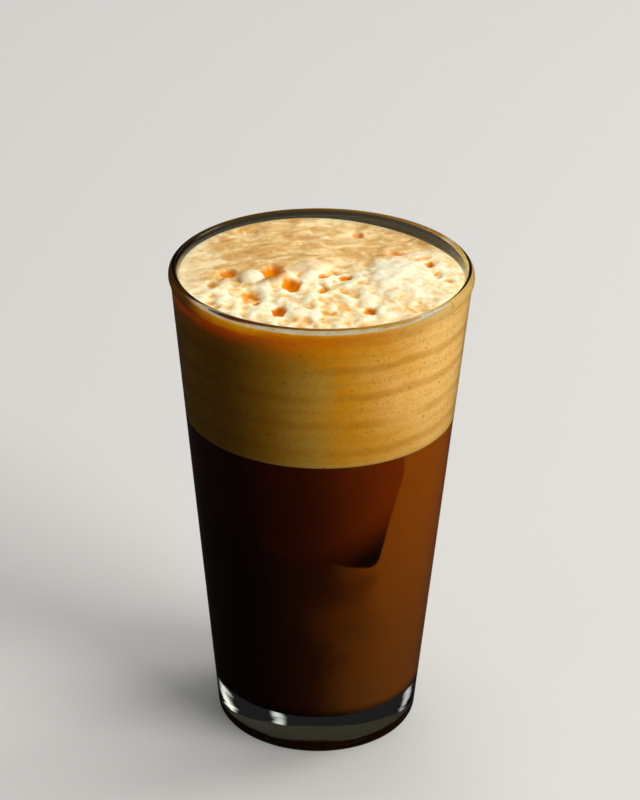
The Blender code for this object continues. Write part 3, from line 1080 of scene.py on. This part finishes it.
@dataclass(frozen=True)
class Drink:
    """The cloudy coffee that fills the glass up to the foam.

    The ice shows on its side as a dark shape of painted shade, as the clear ice scatters no light back. Each
    point of the wall looks for the ice straight inwards, and a point in front looks more towards +Y and
    down, in a narrow fan.
    """

    glass: PintGlass
    finish: DrinkFinish
    top: float = 103.2 * MM
    round_steps: int = 420
    row_height: float = 0.55 * MM
    clear_depth: float = 9.0 * MM
    look_share: float = 0.6
    look_front: Span = (0.0, 0.6)
    look_drop: float = 0.28
    look_top: float = 97.0 * MM
    look_count: int = 10
    look_spread: float = 0.075
    blur_passes: int = 5

    def profile(self) -> Outline:
        """Draws the outline, from the middle of the flat top, down the wall and along the floor."""
        wall_top = (self.glass.inner_radius(self.top) + WALL_BITE, self.top)
        corner = self.glass.corner(WALL_BITE)
        rows = round((self.top - corner[0][1]) / self.row_height)
        wall = rows_between(wall_top, corner[0], rows)
        floor_middle = (0.0, self.glass.floor_height - WALL_BITE)
        return [(0.0, self.top), wall_top] + wall + corner + [floor_middle]

    def _looks(self, x: float, y: float) -> list[Vector]:
        """Works out the directions in which the ice is looked for behind a point of the wall.

        Args:
            x: the point's place along X.
            y: the point's place along Y.

        Returns:
            A narrow fan of directions, all into the drink.
        """
        radius = max(math.hypot(x, y), MM)
        share = self.look_share * smooth(*self.look_front, -y / radius)
        inward = Vector((-x / radius, -y / radius, 0.0)).lerp(Vector((0.0, 1.0, 0.0)), share)
        middle = Vector((inward.x, inward.y, -self.look_drop * share)).normalized()
        across = middle.cross(Vector((0.0, 0.0, 1.0)))
        rise = across.cross(middle)
        looks = [middle]
        for step in range(self.look_count):
            angle = math.tau * step / self.look_count
            swing = across * math.cos(angle) + rise * math.sin(angle)
            reach = self.look_spread if step % 2 else 0.5 * self.look_spread
            looks.append((middle + swing * reach).normalized())
        return looks

    def _ice_share(self, places: np.ndarray, ice: BVHTree) -> np.ndarray:
        """Works out how strongly the ice's painted shade shows on the drink at each point of its wall.

        Args:
            places: the drink's vertices.
            ice: the ice cube, ready to be looked for.

        Returns:
            0 where only drink shows, and towards 1 where the ice is close behind the wall.
        """
        shares = np.zeros(len(places))
        for index, (x, y, z) in enumerate(places):
            if math.hypot(x, y) < self.glass.inner_radius(z) - MM:
                continue
            looks = self._looks(x, y)
            start = Vector((x, y, min(z, self.look_top)))
            for look in looks:
                distance = ice.ray_cast(start, look)[3]
                if distance is not None:
                    shares[index] += math.exp(-distance / self.clear_depth) / len(looks)
        return shares

    def _evened(self, shares: np.ndarray, mesh: bpy.types.Mesh) -> np.ndarray:
        """Averages each vertex with its neighbours a few times, as a cloudy drink blurs what is in it.

        Args:
            shares: one value for each vertex.
            mesh: the drink's mesh.

        Returns:
            The evened values.
        """
        ends = np.empty(2 * len(mesh.edges), dtype=np.int32)
        mesh.edges.foreach_get("vertices", ends)
        first, second = ends[0::2], ends[1::2]
        neighbours = 1 + np.bincount(ends, minlength=len(shares))
        for _ in range(self.blur_passes):
            total = shares + np.bincount(first, shares[second], len(shares))
            total += np.bincount(second, shares[first], len(shares))
            shares = total / neighbours
        return shares

    def build(self, effects: SharedEffects, ice: IceCube) -> bpy.types.Object:
        """Makes the drink in place of its solid.

        Args:
            effects: the shared surface effects.
            ice: the ice cube that is sunk in it.

        Returns:
            The drink.
        """
        shape = turn_profile(self.profile(), self.round_steps)
        piece = place_piece("coffee_drink", shape, self.finish.material(effects))
        ice_shape = ice.shape()
        ice_tree = BVHTree.FromBMesh(ice_shape)
        ice_shape.free()
        shares = self._ice_share(vertex_places(piece.data), ice_tree)
        write_attribute(piece.data, "ice", self._evened(shares, piece.data))
        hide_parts("coffee")
        return piece


class Mound(NamedTuple):
    """A swelling of the foam: its centre, its half sizes along X and Y, and how high it stands."""

    x: float
    y: float
    half_x: float
    half_y: float
    height: float


class Pit(NamedTuple):
    """A hollow between puffs: its centre, its half sizes along X and Y, and its depth."""

    x: float
    y: float
    half_x: float
    half_y: float
    depth: float


PALE_MOUND = Mound(23.0 * MM, -0.5 * MM, 12.0 * MM, 20.0 * MM, 1.5 * MM)
MOUNDS = (
    PALE_MOUND,
    Mound(-18.0 * MM, 24.0 * MM, 16.0 * MM, 16.0 * MM, 0.4 * MM),
    Mound(-3.0 * MM, -19.0 * MM, 9.0 * MM, 9.0 * MM, 0.7 * MM),
    Mound(-1.5 * MM, 8.0 * MM, 5.0 * MM, 6.0 * MM, 0.6 * MM),
)
BALL = Mound(-20.0 * MM, -3.2 * MM, 4.1 * MM, 5.4 * MM, 1.2 * MM)
CRATER = Pit(-14.3 * MM, 0.8 * MM, 3.8 * MM, 6.4 * MM, 3.2 * MM)
LIP = Mound(-17.5 * MM, 1.5 * MM, 7.2 * MM, 9.8 * MM, 1.6 * MM)
PITS = tuple(
    Pit(*(size * MM for size in sizes))
    for sizes in (
        (-11.8, -25.8, 2.2, 3.6, 2.6),
        (-8.8, -7.6, 3.2, 5.2, 2.9),
        (-20.3, -15.8, 3.7, 5.0, 1.4),
        (-18.6, -20.0, 1.7, 2.0, 2.4),
        (-27.5, 0.8, 2.6, 2.8, 1.8),
        (-29.6, -3.6, 1.3, 2.6, 0.8),
        (-31.8, -8.0, 1.5, 2.4, 0.8),
        (-21.4, 31.4, 2.3, 1.8, 1.3),
        (-24.8, 30.4, 1.7, 1.6, 0.9),
        (22.6, 19.2, 3.5, 1.7, 1.7),
        (10.5, 31.8, 1.8, 2.4, 1.5),
        (6.8, -1.4, 2.4, 2.8, 2.1),
        (0.6, -0.4, 1.8, 3.2, 1.8),
        (0.2, -10.2, 1.6, 4.2, 1.3),
        (31.6, 9.0, 1.6, 2.6, 1.9),
        (33.5, 0.2, 1.6, 4.2, 1.0),
        (36.8, -3.8, 2.6, 1.6, 1.1),
        (13.5, -25.0, 2.4, 2.6, 1.7),
        (2.0, -26.5, 2.2, 2.4, 0.9),
    )
)


@dataclass(frozen=True)
class PuffLayer:
    """One layer of rounded puffs: their size and height, and how the noise for them is read."""

    size: float
    height: float
    shoulder: float
    layer: float

    def rise(self, x: float, y: float) -> float:
        """Gives how high the layer stands at a point: 0 in a hollow and its full height on a puff."""
        swing = noise.noise(Vector((x / self.size, y / self.size, self.layer)))
        return self.height * 0.5 * (1.0 + math.tanh(swing / self.shoulder))


@dataclass(frozen=True)
class Shift:
    """Soft noise that moves points: the size of its swings, how far it moves and its layer."""

    size: float
    reach: float
    layer: float

    def moved(self, x: float, y: float) -> tuple[float, float]:
        """Gives the point of an even pattern that shows at a point, so that no outline is regular."""
        move = noise.noise_vector(Vector((x / self.size, y / self.size, self.layer)))
        return x + move.x * self.reach, y + move.y * self.reach


@dataclass(frozen=True)
class FoamRelief:
    """The height of the foam's broken top, the same as the solid's, with finer puffs over it."""

    edge_height: float = 146.9 * MM
    edge_drop: float = 1.7 * MM
    edge_drop_angle: float = math.radians(40.0)
    edge_band: float = 2.6 * MM
    crease_depth: float = 0.9 * MM
    clumps: PuffLayer = PuffLayer(3.8 * MM, 1.0 * MM, 0.36, 5.1)
    clump_stretch: float = 1.35
    calm: PuffLayer = PuffLayer(3.4 * MM, 0.5 * MM, 0.4, 8.3)
    even_start: float = 26.0 * MM
    even_end: float = 36.0 * MM
    calm_stretch: float = 1.7
    calm_turn: float = math.radians(33.0)
    calm_line_y: float = 6.0 * MM
    calm_line_slope: float = 0.45
    calm_line_blur: float = 7.0 * MM
    warp: Shift = Shift(5.0 * MM, 1.5 * MM, 3.7)
    rough: Shift = Shift(2.6 * MM, 0.9 * MM, 1.7)
    fine: PuffLayer = PuffLayer(1.9 * MM, 0.26 * MM, 0.4, 2.2)
    finest: PuffLayer = PuffLayer(0.9 * MM, 0.09 * MM, 0.4, 9.4)
    lip_width: float = 0.9 * MM
    lip_middle: float = math.radians(-50.0)
    lip_reach: float = math.radians(54.0)

    def broken(self, x: float, y: float) -> float:
        """Gives how broken the foam is: 0 in the calm back left, 1 in front and on the right."""
        ahead = self.calm_line_y + self.calm_line_slope * x - y
        return smooth(-self.calm_line_blur, self.calm_line_blur, ahead)

    @staticmethod
    def distance_in(form: Mound | Pit, x: float, y: float) -> float:
        """Gives how far a point is from a mound's or a pit's middle, where 1 is its outline."""
        return math.hypot((x - form.x) / form.half_x, (y - form.y) / form.half_y)

    def lift(self, mound: Mound, x: float, y: float) -> float:
        """Gives how far one broad swelling lifts the foam at a point."""
        return mound.height * math.exp(-1.5 * self.distance_in(mound, x, y) ** 2)

    def ball_share(self, x: float, y: float) -> float:
        """Gives how far up the round bubble a point is: 0 beside it and 1 on its crest."""
        return math.sqrt(max(1.0 - self.distance_in(BALL, x, y) ** 2, 0.0))

    def puffs(self, x: float, y: float) -> float:
        """Gives how high the puffs stand: streaks at the back, clumps in front, nearly flat at the right."""
        cosine, sine = math.cos(self.calm_turn), math.sin(self.calm_turn)
        along, across = (x * cosine + y * sine) / self.calm_stretch, y * cosine - x * sine
        calm = self.calm.rise(along, across)
        flatter = 1.0 - 0.4 * self.lift(PALE_MOUND, x, y) / MM
        flatter *= 1.0 - 0.75 * smooth(self.even_start, self.even_end, x)
        clumps = self.clumps.rise(x, y / self.clump_stretch)
        clumps = self.clumps.height - (self.clumps.height - clumps) * flatter
        return calm + (clumps - calm) * self.broken(x, y)

    def pits(self, x: float, y: float) -> tuple[float, float]:
        """Works out how far the hollows, the crater included, lower a point.

        Args:
            x: the point's place along X, in the rough pattern.
            y: its place along Y.

        Returns:
            The depth there, and how strongly the hollow is coloured, from 0 to 1.
        """
        deepest, strongest = 0.0, 0.0
        for pit in (CRATER, *PITS):
            steep = 0.12 * pit.depth / MM
            share = 1.0 - smooth(0.15 + steep, 1.45 - steep, self.distance_in(pit, x, y))
            deepest = max(deepest, pit.depth * share)
            strongest = max(strongest, share * smooth(0.5 * MM, 2.6 * MM, pit.depth))
        return deepest, smooth(0.1, 0.6, strongest)

    def lip_share(self, x: float, y: float) -> float:
        """Gives how much of a point is the crater's curled lip: 1 on its crest, 0 away from it."""
        turn = math.atan2((y - LIP.y) / LIP.half_y, (x - LIP.x) / LIP.half_x)
        reach = 1.0 - smooth(0.5 * self.lip_reach, self.lip_reach, abs(turn - self.lip_middle))
        from_lip = (self.distance_in(LIP, x, y) - 1.0) * LIP.half_x / self.lip_width
        return reach * math.exp(-from_lip * from_lip)

    def edge(self, x: float, y: float) -> float:
        """Gives the height at which the foam meets the glass, lower at the back right."""
        drop = max(math.cos(math.atan2(y, x) - self.edge_drop_angle), 0.0) ** 4
        return self.edge_height - self.edge_drop * drop

    def height(self, x: float, y: float, reach: float) -> float:
        """Works out the foam's height at a point.

        Args:
            x: the point's place along X.
            y: its place along Y.
            reach: the radius at which the foam ends.

        Returns:
            The height of the foam's top there.
        """
        even_x, even_y = self.warp.moved(x, y)
        relief = self.puffs(even_x, even_y) - self.crease_depth
        relief += sum(self.lift(mound, even_x, even_y) for mound in MOUNDS)
        rough_x, rough_y = self.rough.moved(x, y)
        between = (0.5 * (x + rough_x), 0.5 * (y + rough_y))
        ball = self.ball_share(*between)
        relief = max(relief, (BALL.height + self.crease_depth) * ball - self.crease_depth)
        relief -= self.pits(rough_x, rough_y)[0]
        relief += (LIP.height - relief) * self.lip_share(*between)
        share = 0.45 + 0.55 * self.broken(even_x, even_y)
        relief += share * (self.fine.rise(rough_x, rough_y) + self.finest.rise(rough_x, rough_y))
        return self.edge(x, y) + relief * smooth(0.0, self.edge_band, reach - math.hypot(x, y))


@dataclass(frozen=True)
class FoamCap:
    """The thick foam over the drink, with its rough top and its side pressed to the glass."""

    glass: PintGlass
    finish: FoamFinish
    relief: FoamRelief
    bottom: float = 103.2 * MM
    cells: int = 270
    near_blur: int = 4
    far_blur: int = 17
    near_depth: float = 0.14 * MM
    far_depth: float = 0.6 * MM
    pale_ball: float = 0.55
    sharp_angle: float = math.radians(75.0)

    @staticmethod
    def to_disc(x: float, y: float, radius: float) -> tuple[float, float]:
        """Puts a point of the square from -1 to 1 on a disc, with the square's rim on the disc's."""
        return radius * x * math.sqrt(1.0 - y * y / 2.0), radius * y * math.sqrt(1.0 - x * x / 2.0)

    def _shape(self) -> bmesh.types.BMesh:
        """Shapes the foam: a square net drawn out to a disc for its top, then its side and base.

        Returns:
            The closed shape, with the top's vertices first, row by row.
        """
        shape = bmesh.new()
        bmesh.ops.create_grid(shape, x_segments=self.cells, y_segments=self.cells, size=1.0)
        reach = self.glass.inner_radius(self.relief.edge_height) + WALL_BITE
        rim_edges = [edge for edge in shape.edges if edge.is_boundary]
        rim = {corner for edge in rim_edges for corner in edge.verts}
        for corner in shape.verts:
            x, y = self.to_disc(corner.co.x, corner.co.y, reach)
            corner.co = (x, y, self.relief.height(x, y, reach))
        for corner in rim:
            fit = (self.glass.inner_radius(corner.co.z) + WALL_BITE) / math.hypot(corner.co.x, corner.co.y)
            corner.co.x *= fit
            corner.co.y *= fit
        base_radius = self.glass.inner_radius(self.bottom) + WALL_BITE
        side = bmesh.ops.extrude_edge_only(shape, edges=rim_edges)["geom"]
        for corner in side:
            if isinstance(corner, bmesh.types.BMVert):
                fit = base_radius / math.hypot(corner.co.x, corner.co.y)
                corner.co = (corner.co.x * fit, corner.co.y * fit, self.bottom)
        lower_edges = [item for item in side if isinstance(item, bmesh.types.BMEdge)]
        bmesh.ops.contextual_create(shape, geom=lower_edges)
        return shape

    @staticmethod
    def _blurred(heights: np.ndarray, reach: int) -> np.ndarray:
        """Averages a square of heights over a square window, twice.

        Args:
            heights: the heights, row by row.
            reach: how many cells the window reaches to each side.

        Returns:
            The averaged heights.
        """
        width = 2 * reach + 1
        window = np.ones(width) / width
        for _ in range(2):
            for axis in (0, 1):
                padded = np.pad(heights, [(reach, reach) if i == axis else (0, 0) for i in (0, 1)], "edge")
                heights = np.apply_along_axis(np.convolve, axis, padded, window, "valid")
        return heights

    def _hollow(self, places: np.ndarray) -> np.ndarray:
        """Works out how deep each point of the top lies among what is round it.

        Args:
            places: the foam's vertices, with the top's first.

        Returns:
            0 on a puff and towards 1 in a hollow.
        """
        side = self.cells + 1
        top = places[: side * side, 2].reshape(side, side)
        near = (self._blurred(top, self.near_blur) - top) / self.near_depth
        far = (self._blurred(top, self.far_blur) - top) / self.far_depth
        hollow = np.full(len(places), 0.3)
        hollow[: side * side] = np.clip(0.28 + 0.14 * near + 0.22 * far, 0.0, 1.0).ravel()
        return hollow

    def _shares(self, places: np.ndarray) -> dict[str, list[float]]:
        """Works out how much each point belongs to each kind of foam.

        Args:
            places: the foam's vertices, with the top's first.

        Returns:
            For a pit, the lip, the calm foam, the pale swellings and the side, one share a vertex.
        """
        shares = {"pit": [], "lip": [], "calm": [], "pale": [], "side": []}
        top_count = (self.cells + 1) ** 2
        reach = self.glass.inner_radius(self.relief.edge_height)
        for index, (x, y, _) in enumerate(places):
            even = self.relief.warp.moved(x, y)
            rough = self.relief.rough.moved(x, y)
            between = (0.5 * (x + rough[0]), 0.5 * (y + rough[1]))
            mound = self.relief.lift(PALE_MOUND, *even) / PALE_MOUND.height
            ball = self.pale_ball * self.relief.ball_share(*between)
            shares["pit"].append(self.relief.pits(*rough)[1])
            shares["lip"].append(self.relief.lip_share(*between))
            shares["calm"].append(1.0 - self.relief.broken(*even))
            shares["pale"].append(max(mound, ball))
            shares["side"].append(float(index >= top_count or math.hypot(x, y) > reach))
        return shares

    def build(self, effects: SharedEffects) -> bpy.types.Object:
        """Makes the foam in place of its solid.

        Args:
            effects: the shared surface effects.

        Returns:
            The foam.
        """
        material = self.finish.material(effects)
        piece = place_piece("coffee_foam", self._shape(), material, self.sharp_angle)
        places = vertex_places(piece.data)
        write_attribute(piece.data, "hollow", self._hollow(places))
        for name, values in self._shares(places).items():
            write_attribute(piece.data, name, np.array(values))
        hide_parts("foam")
        return piece


@dataclass(frozen=True)
class SoftLight:
    """One soft light: where it stands, seen from the glass, its size, its strength and its warmth.

    A light that isn't mirrored gives light, but shows neither on the glass nor through it.
    """

    name: str
    azimuth: float
    elevation: float
    size: tuple[float, float]
    watts: float
    colour: tuple[float, float, float] = (1.0, 1.0, 1.0)
    mirrored: bool = True
    distance: float = 2.5

    @staticmethod
    def _soften(data: bpy.types.AreaLight) -> None:
        """Makes a light fade towards its edges, so that its mirror image on the glass is soft."""
        data.use_nodes = True
        wiring = Wiring(data.node_tree)
        spot = wiring.add("ShaderNodeNewGeometry").outputs["Parametric"]
        to_middle = {0: spot, 1: (0.5, 0.5, 0.0)}
        away = wiring.add("ShaderNodeVectorMath", to_middle, operation="DISTANCE").outputs["Value"]
        wiring.fill(data.node_tree.nodes["Emission"], {"Strength": wiring.step(away, 0.5, 0.1)})

    def build(self, target: Vector) -> bpy.types.Object:
        """Places the light, turned towards the glass.

        Args:
            target: the point that it shines at.

        Returns:
            The light.
        """
        data = bpy.data.lights.new(self.name, "AREA")
        data.shape = "RECTANGLE"
        data.size, data.size_y = self.size
        data.energy = self.watts
        data.color = self.colour
        if self.mirrored:
            self._soften(data)
        light = bpy.data.objects.new(self.name, data)
        bpy.context.scene.collection.objects.link(light)
        turn, rise = math.radians(self.azimuth), math.radians(self.elevation)
        away = Vector((math.cos(turn) * math.cos(rise), math.sin(turn) * math.cos(rise), math.sin(rise)))
        light.location = target + away * self.distance
        light.rotation_euler = away.to_track_quat("Z", "Y").to_euler()
        light.visible_glossy = self.mirrored
        light.visible_transmission = self.mirrored
        return light


@dataclass(frozen=True)
class Studio:
    """The pale floor, the soft lights and the camera at the photograph's viewing angle.

    The clear glass is seen against dark surroundings: through it and mirrored in it, the floor and
    the room are nearly black, and so the floor throws little light back up at the drink.
    """

    floor_size: float = 8.0
    floor_colour: Colour = (0.66, 0.66, 0.65, 1.0)
    floor_through: Colour = (0.045, 0.047, 0.037, 1.0)
    floor_bounce: Colour = (0.055, 0.055, 0.05, 1.0)
    floor_mirrored: Colour = (0.015, 0.015, 0.014, 1.0)
    world_colour: Colour = (0.92, 0.95, 1.0, 1.0)
    world_seen: float = 0.60
    world_diffuse: float = 0.065
    world_mirrored: float = 0.02
    target: Vector = Vector((0.0, 0.0, 0.10))
    lights: tuple[SoftLight, ...] = (
        SoftLight("key", 28.0, 37.0, (1.1, 1.1), 14.0, (1.0, 0.97, 0.92), mirrored=False),
        SoftLight("overhead", 50.0, 78.0, (1.5, 1.5), 29.0, (1.0, 0.98, 0.94), mirrored=False),
        SoftLight("right_fill", -30.0, 26.0, (1.6, 1.6), 66.0, (1.0, 0.97, 0.92), mirrored=False),
        SoftLight("left_fill", -155.0, 22.0, (1.2, 1.2), 2.0, (1.0, 0.98, 0.95), mirrored=False),
        SoftLight("back_fill", 108.0, 25.0, (1.2, 1.2), 8.0, (1.0, 0.98, 0.95), mirrored=False),
        SoftLight("window", 26.0, 37.0, (1.3, 1.5), 15.0, (1.0, 0.97, 0.92)),
        SoftLight("left_strip", 73.0, 31.0, (0.34, 0.80), 0.9),
        SoftLight("right_strip", 150.0, 30.0, (0.70, 1.10), 2.4),
    )
    camera_place: Vector = Vector((0.0, -0.7085, 0.4624))
    camera_pitch: float = math.radians(26.724)
    camera_roll: float = math.radians(0.706)
    focal_pixels: float = 2672.2
    frame_height_pixels: float = 800.0
    sensor: float = 36.0

    def _floor(self) -> None:
        """Lays the floor under the glass: pale where it is seen straight, dark through the glass."""
        shape = bmesh.new()
        bmesh.ops.create_grid(shape, x_segments=1, y_segments=1, size=self.floor_size / 2.0)
        mesh = bpy.data.meshes.new("floor")
        shape.to_mesh(mesh)
        shape.free()
        paint = Paint("pale_floor")
        path = paint.add("ShaderNodeLightPath").outputs
        unseen = paint.mix(path["Is Glossy Ray"], self.floor_bounce, self.floor_mirrored)
        beyond = paint.mix(path["Is Transmission Ray"], unseen, self.floor_through)
        colour = paint.mix(path["Is Camera Ray"], beyond, self.floor_colour)
        paint.dress(Base_Color=colour, Roughness=0.9, Specular_IOR_Level=0.1)
        mesh.materials.append(paint.material)
        floor = bpy.data.objects.new("floor", mesh)
        bpy.context.scene.collection.objects.link(floor)

    def _world(self) -> None:
        """Gives the room its pale backdrop and its even, weak light."""
        world = bpy.data.worlds.new("studio")
        world.use_nodes = True
        wiring = Wiring(world.node_tree)
        path = wiring.add("ShaderNodeLightPath").outputs
        extra = self.world_diffuse - self.world_mirrored
        weak = wiring.line(path["Is Diffuse Ray"], extra, self.world_mirrored)
        strength = wiring.math("MAXIMUM", weak, wiring.times(path["Is Camera Ray"], self.world_seen))
        background = world.node_tree.nodes["Background"]
        wiring.fill(background, {"Color": self.world_colour, "Strength": strength})
        bpy.context.scene.world = world

    def _camera(self) -> None:
        """Places the camera where the photograph was taken from."""
        data = bpy.data.cameras.new("camera")
        data.sensor_width = self.sensor
        data.lens = self.focal_pixels / self.frame_height_pixels * self.sensor
        camera = bpy.data.objects.new("camera", data)
        bpy.context.scene.collection.objects.link(camera)
        ahead = Vector((0.0, math.cos(self.camera_pitch), -math.sin(self.camera_pitch)))
        level = Vector((1.0, 0.0, 0.0))
        above = level.cross(ahead)
        cosine, sine = math.cos(self.camera_roll), math.sin(self.camera_roll)
        right = level * cosine + above * sine
        up = above * cosine - level * sine
        place = Matrix((right, up, -ahead)).transposed().to_4x4()
        place.translation = self.camera_place
        camera.matrix_world = place
        bpy.context.scene.camera = camera

    def build(self) -> None:
        """Sets up the floor, the light, the camera and how the picture is shown."""
        self._floor()
        self._world()
        self._camera()
        for light in self.lights:
            light.build(self.target)
        bpy.context.scene.view_settings.view_transform = "Standard"


def main() -> None:
    """Builds the glass and what is in it, then the studio round it."""
    logging.basicConfig(level=logging.INFO, format="%(message)s")
    noise.seed_set(SHIFT_SEED)
    effects = SharedEffects()
    glass = PintGlass(GlassFinish())
    ice = IceCube(IceFinish())
    glass.build(effects)
    ice.build(effects)
    Drink(glass, DrinkFinish()).build(effects, ice)
    FoamCap(glass, FoamFinish(), FoamRelief()).build(effects)
    Studio().build()


if __name__ == "__main__":
    main()
